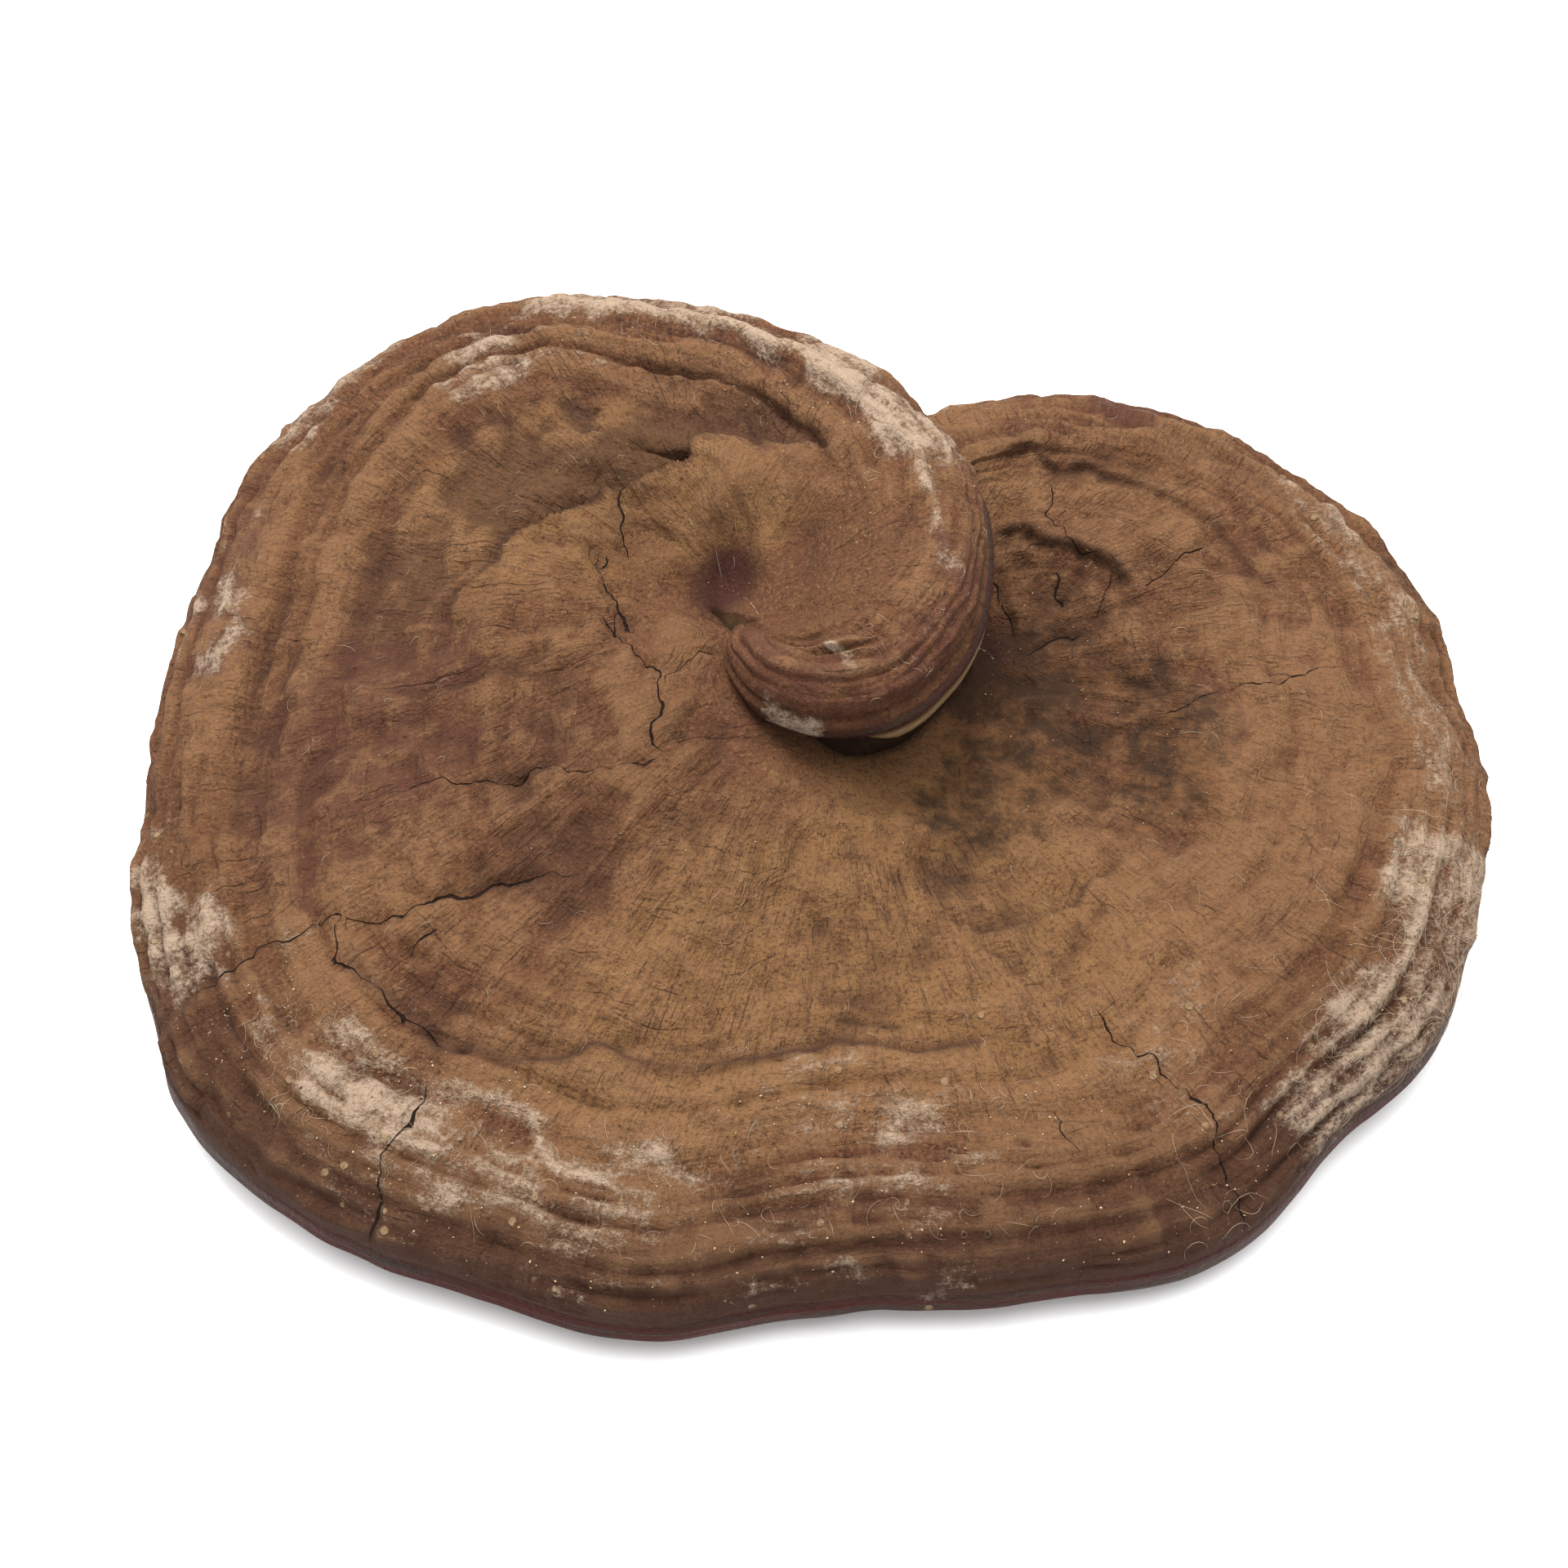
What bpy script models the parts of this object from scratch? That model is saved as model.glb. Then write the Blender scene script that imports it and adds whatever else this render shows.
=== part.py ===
"""A large dried reishi mushroom: one woody bracket cap with its cut stub of stem.

The cap grew round its stem like a wide spiral stair. Its left side climbed at the back and curled
forward over the right side, so that the outer edge makes almost two turns round the stem.
The stub under the middle is cut off flat, and the mushroom rests on that cut.

Metres, +Z up. The origin is the middle of the cut, the front of the cap faces -Y.
"""

import math

import bmesh
import bpy
import numpy as np

MM = 0.001

# Edge of the cap, as a spiral round the stem: turn in degrees, distance from the stem's axis
# and height of the edge's widest line in mm. It runs from the tip of the curl to the hidden end.
EDGE = (
    (-214, 27, 53),
    (-201, 26, 53.5),
    (-185, 22.2, 54),
    (-154, 17.2, 55),
    (-113, 14, 56),
    (-72, 14.2, 57),
    (-34, 18, 59),
    (-5, 23.1, 61),
    (16, 30.7, 63),
    (36, 41, 65),
    (47, 49, 66),
    (59, 60.5, 66),
    (81, 86, 64),
    (103, 119, 60),
    (124, 153, 53),
    (147, 164, 43),
    (169, 155.5, 32),
    (192, 156, 24),
    (213, 158.5, 18),
    (240, 142.5, 14),
    (255, 136.5, 13),
    (265, 127.5, 13),
    (273, 125, 13),
    (285, 128.5, 13),
    (308, 137, 13.5),
    (315, 135.5, 14),
    (334, 143.5, 16),
    (349, 146, 19),
    (359, 149, 21),
    (367, 147, 23),
    (376, 152, 25),
    (397, 147.5, 31),
    (421, 129, 36),
    (435, 110, 36),
    (450, 88, 33),
    (463, 68, 28),
    (476, 46, 24),
)

# Line that the growth spreads from, as turn in degrees, x, y and height in mm: the notch behind
# the curl, which all of the curl spreads from, a pit, a ridge in front of the stem, and a funnel.
HUB = (
    (0, -19, 16, 55),
    (40, -21, 20, 53),
    (100, -26, 27, 49),
    (140, -28, 28, 48),
    (170, -25, 23, 48),
    (190, -20, 17, 47),
    (210, -16, 9, 46.5),
    (230, -12, 2, 45),
    (250, -7, -4, 42),
    (275, 2, -8, 37),
    (300, 14, 0, 31),
    (325, 24, 14, 26),
    (350, 30, 26, 23),
    (375, 33, 34, 21),
    (405, 29, 37, 21),
    (440, 14, 37, 21),
    (476, -8, 33, 22),
)

# Height of the upper face in mm at these shares of the way from the hub to the margin.
SHARES = (0.0, 0.15, 0.35, 0.5, 0.65, 0.82, 1.0)
UPPER = (
    (-214, 55, 55, 55, 55, 55, 55),
    (-140, 56, 58, 60, 61, 62, 62),
    (-89, 57, 60, 62, 63, 64, 64),
    (-10, 56, 60, 64, 67, 69, 70),
    (59, 55, 62, 67, 70, 73, 75),
    (95, 54, 65, 69, 66, 69, 73),
    (130, 53, 61, 64, 60, 61, 64),
    (160, 52, 57, 57, 51, 50, 48),
    (190, 51, 52, 50, 45, 42, 38),
    (225, 47, 46, 41, 36, 32, 28),
    (260, 40, 37, 33, 30, 28, 25),
    (300, 29, 28, 28, 28, 27, 25),
    (340, 23, 26, 30, 31, 31, 29),
    (380, 25, 32, 36, 37, 38, 38),
    (420, 25, 34, 40, 42, 45, 46),
    (476, 24, 28, 32, 33, 33, 32),
)

# Height of the lower face under the hub, against turn.
HUB_UNDER = ((-214, 34), (150, 31), (225, 24), (300, 13), (350, 9), (476, 9))

# Rolled margin, in mm, on the curl and on the rest of the cap: how far it rises above its widest
# line, how far in it does so, and how far the near-upright band below drops to the lower lip.
MARGIN_RISE = (8.0, 12.5)
MARGIN_WIDTH = (9.0, 27.0)
MARGIN_DROP = (9.0, 9.0)
BAND_LEAN = 3.0
THICKENS = (50.0, 150.0)  # turns between which the margin of the curl becomes that of the cap
SMALL_END = 0.3  # share of the margin's size that is left at the two ends of the spiral
MARGIN_SHARE = 0.6  # the roll takes at most this share of the way from the hub to the edge
HEADING_REACH = (6.0, 22.0)  # mm along the edge, each way, that its heading is taken over
END_TURNS = (60.0, 25.0)  # degrees over which the margin grows from the two ends
UNDER_BOW = 0.8  # below 1 the lower face is bowed down between stem and margin

# Stub of the stem: height, centre x and y, half lengths along x and y in mm, and fall along x.
STEM = (
    (0, 0, 0, 33, 28, 0),
    (2, 0, 0, 34, 29, 0),
    (7, 0, 1, 37, 33, 0),
    (12, 1, 4, 41, 38, 0),
    (17, 0, 7, 42, 38, 0.1),
    (23, 0, 11, 38, 33, 0.25),
    (29, 1, 13, 33, 27, 0.38),
    (33, 2, 14, 27, 21, 0.45),
    (35, 2, 14, 14, 10, 0.45),
)
STEM_LOBES = 4
STEM_LOBE_DEPTH = 0.05

# The lower face comes down to the stem in a smooth flare: height in mm at the stem and rise out
# to twice the stem's size, how it curves, how softly it meets the face, and from which turns.
FLARE_FOOT = 6.0
FLARE_RISE = 26.0
FLARE_POWER = 1.3
FLARE_BLEND = 5.0
FLARE_TURNS = (60.0, 150.0)

SECTIONS = 104
INNER_STEPS = 12
ROLL_STEPS = 5
BAND_STEPS = 2
UNDER_STEPS = 6
STEM_SIDES = 32

BROWN = (0.155, 0.075, 0.036, 1.0)


def through(at, stations):
    """Smooth curve through hand-set stations, whose first column is the place along it."""
    table = np.array(stations, float)
    places, values = table[:, 0], table[:, 1:]
    slopes = np.gradient(values, places, axis=0)
    k = np.clip(np.searchsorted(places, at, side="right") - 1, 0, len(places) - 2)
    gap = (places[k + 1] - places[k])[:, None]
    t = (np.asarray(at) - places[k])[:, None] / gap
    start = (2 * t**3 - 3 * t**2 + 1) * values[k] + (t**3 - 2 * t**2 + t) * gap * slopes[k]
    end = (3 * t**2 - 2 * t**3) * values[k + 1] + (t**3 - t**2) * gap * slopes[k + 1]
    return start + end


def ease(value, low, high):
    """0 below low, 1 above high and smooth between."""
    t = np.clip((value - low) / (high - low), 0, 1)
    return t * t * (3 - 2 * t)


def flared(place, turns):
    """Points of the lower face in mm, brought down to the stem near it."""
    from_axis = np.hypot(place[:, 0] / STEM[1][3], place[:, 1] / STEM[1][4])
    flare = FLARE_FOOT + FLARE_RISE * np.clip(from_axis - 1, 0, None) ** FLARE_POWER
    mixed = np.clip(0.5 + 0.5 * (place[:, 2] - flare) / FLARE_BLEND, 0, 1)
    lower = place[:, 2] * (1 - mixed) + flare * mixed - FLARE_BLEND * mixed * (1 - mixed)
    height = place[:, 2] + (lower - place[:, 2]) * ease(turns, *FLARE_TURNS)
    return np.column_stack([place[:, :2], height])


def edge_at(turns):
    """Points on the edge's widest line, in mm."""
    reach, height = through(turns, EDGE).T
    angle = np.radians(turns)
    return np.column_stack([reach * np.cos(angle), reach * np.sin(angle), height])


def even_turns(count):
    """Turns that divide the edge into nearly equal lengths, and the edge's heading at each."""
    fine = np.linspace(EDGE[0][0], EDGE[-1][0], 4000)
    length = np.r_[0, np.cumsum(np.linalg.norm(np.diff(edge_at(fine), axis=0), axis=1))]
    along = np.linspace(0, length[-1], count)
    turns = np.interp(along, length, fine)
    reach = HEADING_REACH[0] + (HEADING_REACH[1] - HEADING_REACH[0]) * ease(turns, *THICKENS)
    ahead = edge_at(np.interp(along + reach, length, fine))
    behind = edge_at(np.interp(along - reach, length, fine))
    heading = (ahead - behind)[:, :2]
    return turns, heading / np.linalg.norm(heading, axis=1)[:, None]


def cap_sections():
    """Closed sections of the cap from the hub outwards: upper face, rolled margin, lower face."""
    turns, heading = even_turns(SECTIONS)
    edge = edge_at(turns)
    outward = np.column_stack([heading[:, 1], -heading[:, 0]])
    hub_place = through(np.maximum(turns, HUB[0][0]), HUB)
    hub = hub_place[:, :2]

    growing = np.clip((turns - turns[0]) / END_TURNS[0], 0, 1)
    ending = np.clip((turns[-1] - turns) / END_TURNS[1], 0, 1)
    size = SMALL_END + (1 - SMALL_END) * np.sqrt(growing * ending)
    thick = ease(turns, *THICKENS)
    rise, width, drop = (
        size * (curl + (cap - curl) * thick) for curl, cap in (MARGIN_RISE, MARGIN_WIDTH, MARGIN_DROP)
    )
    width = np.minimum(width, MARGIN_SHARE * np.linalg.norm(edge[:, :2] - hub, axis=1))
    shoulder = edge[:, :2] - outward * width[:, None]

    upper = through(turns, UPPER)
    upper[:, -1] = edge[:, 2] + rise
    shares = np.linspace(0, 1, INNER_STEPS)
    heights = through(shares, np.column_stack([SHARES, np.vstack([hub_place[:, 2], upper.T])])).T
    rings = []
    for share, height in zip(shares, heights.T):
        rings.append(np.column_stack([hub + (shoulder - hub) * share, height]))
    for angle in np.linspace(math.pi / 2, 0, ROLL_STEPS + 1)[1:]:
        reach = width * (1 - math.cos(angle))
        height = edge[:, 2] + rise * math.sin(angle)
        rings.append(np.column_stack([edge[:, :2] - outward * reach[:, None], height]))
    for fall in np.linspace(0, 1, BAND_STEPS + 1)[1:]:
        lean = BAND_LEAN * size * fall**2
        rings.append(np.column_stack([edge[:, :2] - outward * lean[:, None], edge[:, 2] - drop * fall]))
    lip, lip_height = rings[-1][:, :2], rings[-1][:, 2]
    hub_height = through(turns, HUB_UNDER)[:, 0]
    for share in np.linspace(1, 0, UNDER_STEPS + 1)[1:]:
        height = hub_height + (lip_height - hub_height) * share**UNDER_BOW
        rings.append(flared(np.column_stack([hub + (lip - hub) * share, height]), turns))
    return np.stack(rings, axis=1) * MM


def stem_sections():
    """Rings of the stem stub from its cut up into the cap, slightly lobed."""
    angle = np.linspace(0, 2 * math.pi, STEM_SIDES, endpoint=False)
    lobed = 1 + STEM_LOBE_DEPTH * np.cos(STEM_LOBES * angle + 1)
    rings = []
    for height, x, y, half_x, half_y, fall in STEM:
        ring_x = x + half_x * lobed * np.cos(angle)
        ring_y = y + half_y * lobed * np.sin(angle)
        rings.append(np.column_stack([ring_x, ring_y, height - fall * ring_x]))
    return np.stack(rings) * MM


def loft(name, sections, collection):
    """Closed solid through rings of points, with a flat face over the first and the last ring."""
    count, sides = sections.shape[:2]
    mesh = bmesh.new()
    rows = [[mesh.verts.new(point) for point in section] for section in sections]
    for first, second in zip(rows, rows[1:]):
        for side in range(sides):
            after = (side + 1) % sides
            mesh.faces.new((first[side], first[after], second[after], second[side]))
    mesh.faces.new(rows[0])
    mesh.faces.new(reversed(rows[-1]))
    bmesh.ops.remove_doubles(mesh, verts=mesh.verts, dist=0.00005)
    bmesh.ops.triangulate(mesh, faces=mesh.faces)
    bmesh.ops.recalc_face_normals(mesh, faces=mesh.faces)
    data = bpy.data.meshes.new(name)
    mesh.to_mesh(data)
    mesh.free()
    made = bpy.data.objects.new(name, data)
    collection.objects.link(made)
    return made


def lacquered_flesh():
    material = bpy.data.materials.new("reishi_flesh")
    material.use_nodes = True
    surface = material.node_tree.nodes["Principled BSDF"]
    surface.inputs["Base Color"].default_value = BROWN
    surface.inputs["Roughness"].default_value = 0.85
    surface.inputs["Metallic"].default_value = 0.0
    return material


def new_collection(name, hidden):
    collection = bpy.data.collections.new(name)
    collection.hide_render = hidden
    bpy.context.scene.collection.children.link(collection)
    return collection


for old in list(bpy.data.objects):
    bpy.data.objects.remove(old, do_unlink=True)

parts = new_collection("dried_reishi_mushroom", False)
joined = new_collection("joined_shapes", True)

mushroom = loft("mushroom", cap_sections(), parts)
mushroom.data.materials.append(lacquered_flesh())

stub = loft("stem_stub", stem_sections(), joined)
stub.hide_render = True
stub.display_type = "WIRE"

union = mushroom.modifiers.new("stem", "BOOLEAN")
union.operation = "UNION"
union.solver = "EXACT"
union.use_self = True
union.object = stub

mushroom.data.shade_smooth()
mushroom.data.set_sharp_from_angle(angle=math.radians(60))
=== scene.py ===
"""Looks of a large dried reishi mushroom: one woody bracket cap on a flat-cut stub of stem.

Lengths are in metres, unless a name or comment says mm.
"""

import itertools
import math

import bmesh
import bpy
import numpy as np
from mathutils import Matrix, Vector


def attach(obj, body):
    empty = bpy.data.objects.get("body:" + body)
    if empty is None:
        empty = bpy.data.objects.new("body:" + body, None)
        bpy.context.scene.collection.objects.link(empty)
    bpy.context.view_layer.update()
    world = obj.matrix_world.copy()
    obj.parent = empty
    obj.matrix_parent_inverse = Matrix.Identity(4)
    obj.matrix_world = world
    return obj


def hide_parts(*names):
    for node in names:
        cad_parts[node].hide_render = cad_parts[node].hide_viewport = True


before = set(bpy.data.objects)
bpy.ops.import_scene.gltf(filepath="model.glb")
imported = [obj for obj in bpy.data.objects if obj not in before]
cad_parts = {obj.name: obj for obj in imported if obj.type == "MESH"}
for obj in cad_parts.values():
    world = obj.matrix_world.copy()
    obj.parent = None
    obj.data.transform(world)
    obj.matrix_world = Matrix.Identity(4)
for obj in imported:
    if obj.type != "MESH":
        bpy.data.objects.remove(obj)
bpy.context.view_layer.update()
MM = 0.001

# --- Shape of the cap ---------------------------------------------------------------------------
# The cap grew round its stem like a wide spiral stair, so its edge is one long spiral. It starts at
# the tip of the curl, runs round the back, the left, the front and the right, and ends under the curl.

# Edge, as turn in degrees, distance from the stem's axis and height of its widest line in mm.
EDGE = (
    (-214, 27, 53),
    (-201, 26, 53.5),
    (-185, 22.2, 54),
    (-154, 17.2, 55),
    (-113, 14, 56),
    (-72, 14.2, 57),
    (-34, 18, 59),
    (-5, 23.1, 61),
    (16, 30.7, 63),
    (36, 41, 65),
    (47, 49, 66),
    (59, 60.5, 66),
    (81, 86, 64),
    (103, 119, 60),
    (124, 153, 53),
    (147, 164, 43),
    (169, 155.5, 32),
    (192, 156, 24),
    (213, 158.5, 18),
    (240, 142.5, 14),
    (255, 136.5, 13),
    (265, 127.5, 13),
    (273, 125, 13),
    (285, 128.5, 13),
    (308, 137, 13.5),
    (315, 135.5, 14),
    (334, 143.5, 16),
    (349, 146, 19),
    (359, 149, 21),
    (367, 147, 23),
    (376, 152, 25),
    (397, 147.5, 31),
    (421, 129, 36),
    (435, 110, 36),
    (450, 88, 33),
    (463, 68, 28),
    (476, 46, 24),
)

# Line that the growth spreads from, as turn in degrees, x, y and height in mm: the notch behind
# the curl, which all of the curl spreads from, a pit, a ridge in front of the stem, and a funnel.
HUB = (
    (0, -19, 16, 55),
    (40, -21, 20, 53),
    (100, -26, 27, 49),
    (140, -28, 28, 48),
    (170, -25, 23, 48),
    (190, -20, 17, 47),
    (210, -16, 9, 46.5),
    (230, -12, 2, 45),
    (250, -7, -4, 42),
    (275, 2, -8, 37),
    (300, 14, 0, 31),
    (325, 24, 14, 26),
    (350, 30, 26, 23),
    (375, 33, 34, 21),
    (405, 29, 37, 21),
    (440, 14, 37, 21),
    (476, -8, 33, 22),
)

# Height of the upper face in mm at these shares of the way from the hub to the margin.
SHARES = (0.0, 0.15, 0.35, 0.5, 0.65, 0.82, 1.0)
UPPER = (
    (-214, 55, 55, 55, 55, 55, 55),
    (-140, 56, 58, 60, 61, 62, 62),
    (-89, 57, 60, 62, 63, 64, 64),
    (-10, 56, 60, 64, 67, 69, 70),
    (59, 55, 62, 67, 70, 73, 75),
    (95, 54, 65, 69, 66, 69, 73),
    (130, 53, 61, 64, 60, 61, 64),
    (160, 52, 57, 57, 51, 50, 48),
    (190, 51, 52, 50, 45, 42, 38),
    (225, 47, 46, 41, 36, 32, 28),
    (260, 40, 37, 33, 30, 28, 25),
    (300, 29, 28, 28, 28, 27, 25),
    (340, 23, 26, 30, 31, 31, 29),
    (380, 25, 32, 36, 37, 38, 38),
    (420, 25, 34, 40, 42, 45, 46),
    (476, 24, 28, 32, 33, 33, 32),
)

# Height of the lower face under the hub, against turn.
HUB_UNDER = ((-214, 34), (150, 31), (225, 24), (300, 13), (350, 9), (476, 9))

# Rolled margin, in mm, on the curl and on the rest of the cap: how far it rises above its widest
# line, how far in it does so, and how far the near-upright band below drops to the lower lip.
MARGIN_RISE = (8.0, 12.5)
MARGIN_WIDTH = (9.0, 27.0)
MARGIN_DROP = (9.0, 9.0)
BAND_LEAN = 3.0  # mm that the lower lip stands in from the widest line
LIP_FLARE = 1.7  # times that lean, by which the lip on the right of the curl turns outwards
THICKENS = (50.0, 150.0)  # turns between which the margin of the curl becomes that of the cap
SMALL_END = 0.3  # share of the margin's size that is left at the two ends of the spiral
HEADING_REACH = (6.0, 22.0)  # mm along the edge, each way, that its heading is taken over
END_TURNS = (60.0, 25.0)  # degrees over which the margin grows from the two ends
MARGIN_SHARE = 0.6  # the roll takes at most this share of the way from the hub to the edge
UNDER_BOW = 0.8  # below 1 the lower face keeps near the lip's height for longer on its way in

# Rows of points along the edge, and across the upper face, the roll, the band and the lower face.
SECTIONS = 700
INNER_STEPS = 82
ROLL_STEPS = 27
BAND_STEPS = 10
UNDER_STEPS = 13
CROWD_TO_MARGIN = 0.88  # below 1 the rows stand closer together towards the margin


def through(at, stations):
    """Smooth curve through listed stations, whose first column is the place along it."""
    table = np.array(stations, float)
    places, values = table[:, 0], table[:, 1:]
    slopes = np.gradient(values, places, axis=0)
    k = np.clip(np.searchsorted(places, at, side="right") - 1, 0, len(places) - 2)
    gap = (places[k + 1] - places[k])[:, None]
    t = (np.asarray(at) - places[k])[:, None] / gap
    start = (2 * t**3 - 3 * t**2 + 1) * values[k] + (t**3 - 2 * t**2 + t) * gap * slopes[k]
    end = (3 * t**2 - 2 * t**3) * values[k + 1] + (t**3 - t**2) * gap * slopes[k + 1]
    return start + end


def ease(value, low, high):
    """0 below low, 1 above high and smooth between. With low above high it falls instead."""
    t = np.clip((value - low) / (high - low), 0, 1)
    return t * t * (3 - 2 * t)


def edge_at(turns):
    """Points on the edge's widest line, in mm."""
    reach, height = through(turns, EDGE).T
    angle = np.radians(turns)
    return np.column_stack([reach * np.cos(angle), reach * np.sin(angle), height])


def even_turns(count):
    """Turns that divide the edge into nearly equal lengths, the length to each in mm, and the heading."""
    fine = np.linspace(EDGE[0][0], EDGE[-1][0], 4000)
    length = np.r_[0, np.cumsum(np.linalg.norm(np.diff(edge_at(fine), axis=0), axis=1))]
    along = np.linspace(0, length[-1], count)
    turns = np.interp(along, length, fine)
    reach = HEADING_REACH[0] + (HEADING_REACH[1] - HEADING_REACH[0]) * ease(turns, *THICKENS)
    ahead = edge_at(np.interp(along + reach, length, fine))
    behind = edge_at(np.interp(along - reach, length, fine))
    heading = (ahead - behind)[:, :2]
    return turns, along, heading / np.linalg.norm(heading, axis=1)[:, None]


turns, along, heading = even_turns(SECTIONS)
edge = edge_at(turns)
outward = np.column_stack([heading[:, 1], -heading[:, 0]])
hub_place = through(np.maximum(turns, HUB[0][0]), HUB)
hub = hub_place[:, :2]

growing = np.clip((turns - turns[0]) / END_TURNS[0], 0, 1)
ending = np.clip((turns[-1] - turns) / END_TURNS[1], 0, 1)
margin_size = SMALL_END + (1 - SMALL_END) * np.sqrt(growing * ending)
thick = ease(turns, *THICKENS)
rise, width, drop = (
    margin_size * (curl + (cap - curl) * thick) for curl, cap in (MARGIN_RISE, MARGIN_WIDTH, MARGIN_DROP)
)
width = np.minimum(width, MARGIN_SHARE * np.linalg.norm(edge[:, :2] - hub, axis=1))
shoulder = edge[:, :2] - outward * width[:, None]

upper = through(turns, UPPER)
upper[:, -1] = edge[:, 2] + rise
shares = np.linspace(0, 1, INNER_STEPS) ** CROWD_TO_MARGIN
heights = through(shares, np.column_stack([SHARES, np.vstack([hub_place[:, 2], upper.T])])).T

rows = []
row_share = []
for share, height in zip(shares, heights.T):
    rows.append(np.column_stack([hub + (shoulder - hub) * share, height]))
    row_share.append(share)
for angle in np.linspace(math.pi / 2, 0, ROLL_STEPS + 1)[1:]:
    reach = width * (1 - math.cos(angle))
    height = edge[:, 2] + rise * math.sin(angle)
    rows.append(np.column_stack([edge[:, :2] - outward * reach[:, None], height]))
    row_share.append(1.0)
widest_row = len(rows) - 1
flaring = ease(turns, -75, -40) * ease(turns, 95, 65)
for fall in np.linspace(0, 1, BAND_STEPS + 1)[1:]:
    lean = BAND_LEAN * (1 - LIP_FLARE * flaring) * margin_size * fall**2
    rows.append(np.column_stack([edge[:, :2] - outward * lean[:, None], edge[:, 2] - drop * fall]))
    row_share.append(1.0)
lip_row = len(rows) - 1
lip, lip_height = rows[-1][:, :2], rows[-1][:, 2]
hub_height = through(turns, HUB_UNDER)[:, 0]
for share in np.linspace(1, 0, UNDER_STEPS + 1)[1:]:
    height = hub_height + (lip_height - hub_height) * share**UNDER_BOW
    rows.append(np.column_stack([hub + (lip - hub) * share, height]))
    row_share.append(share)
body = np.stack(rows, axis=1)
share = np.broadcast_to(np.array(row_share), body.shape[:2])

# --- Stub of the stem ---------------------------------------------------------------------------
# The stem leaves the cap under its middle and flares into it. It was cut off flat just below the
# cap when the mushroom was picked; here the cut and the lower stub take the colour of the dark band.

# Ring's height, centre x and y, half lengths along x and y, in mm, and fall in height along x.
STEM = (
    (0, 0, 0, 33, 28, 0),
    (2, 0, 0, 34, 29, 0),
    (7, 0, 1, 37, 33, 0),
    (12, 1, 4, 41, 38, 0),
    (17, 0, 7, 42, 38, 0.1),
    (23, 0, 11, 38, 33, 0.25),
    (29, 1, 13, 33, 27, 0.38),
    (33, 2, 14, 27, 21, 0.45),
    (35, 2, 14, 14, 10, 0.45),
)
STEM_LOBES = 4
STEM_LOBE_DEPTH = 0.05  # share of the radius
STEM_DENT = 0.7  # mm
STEM_SIDES = 144
STEM_RINGS = 40

# Flare of the lower face into the stem: height in mm at the stem and rise out to twice the stem's
# size, how it curves, how softly it meets the face in mm, and the turns it sets in between.
FLARE_FOOT = 6.0
FLARE_RISE = 26.0
FLARE_POWER = 1.3
FLARE_BLEND = 5.0
FLARE_TURNS = (60.0, 150.0)

angle = np.linspace(0, 2 * math.pi, STEM_SIDES, endpoint=False)
lobed = 1 + STEM_LOBE_DEPTH * np.cos(STEM_LOBES * angle + 1)
rings = []
ring_table = np.column_stack([np.linspace(0, 1, len(STEM)), STEM])
for height, x, y, half_x, half_y, fall in through(np.linspace(0, 1, STEM_RINGS), ring_table):
    ring_x = x + half_x * lobed * np.cos(angle)
    ring_y = y + half_y * lobed * np.sin(angle)
    rings.append(np.column_stack([ring_x, ring_y, height - fall * ring_x]))
stem = np.stack(rings)

# The lower face of the cap comes down to the stem in a smooth flare.
from_axis = np.hypot(body[..., 0] / STEM[1][3], body[..., 1] / STEM[1][4])
flare = FLARE_FOOT + FLARE_RISE * np.clip(from_axis - 1, 0, None) ** FLARE_POWER
under = np.zeros(body.shape[:2])
under[:, lip_row + 1 :] = 1
mixed = np.clip(0.5 + 0.5 * (body[..., 2] - flare) / FLARE_BLEND, 0, 1)
flared = body[..., 2] * (1 - mixed) + flare * mixed - FLARE_BLEND * mixed * (1 - mixed)
reaches = under * ease(turns, *FLARE_TURNS)[:, None]
body[..., 2] += (flared - body[..., 2]) * reaches

# --- Relief of the cap --------------------------------------------------------------------------
# Each spell of growth left a ridge that follows the edge. Drying shrank the flesh, so the crust is
# wrinkled across the ridges, folded towards the hub and cracked. The powder softens all of it.


def lumps(points, size, seed):
    """Smooth noise from -1 to 1, whose lumps are about this size."""
    place = np.asarray(points, float) / size
    base = np.floor(place).astype(np.int64)
    t = place - base
    t = t * t * t * (t * (t * 6 - 15) + 10)
    total = np.zeros(place.shape[:-1])
    for corner in itertools.product((0, 1), repeat=place.shape[-1]):
        key = np.full(place.shape[:-1], seed * 7919 + 12345, np.int64)
        weight = np.ones(place.shape[:-1])
        for axis, step in enumerate(corner):
            key = (key * 1103515245 + (base[..., axis] + step) * 2654435761 + 97) & 0xFFFFFFFF
            key ^= key >> 15
            weight = weight * (t[..., axis] if step else 1 - t[..., axis])
        key = (key * 2246822519) & 0xFFFFFFFF
        key ^= key >> 13
        total += weight * ((key & 0xFFFF) / 32767.5 - 1)
    return total


def grooves(points, size, seed):
    """Rounded swellings with narrow grooves between them, from -1 in a groove to 1."""
    return np.clip(np.abs(lumps(points, size, seed)) * 2, 0, 1) ** 0.7 * 2 - 1


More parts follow.
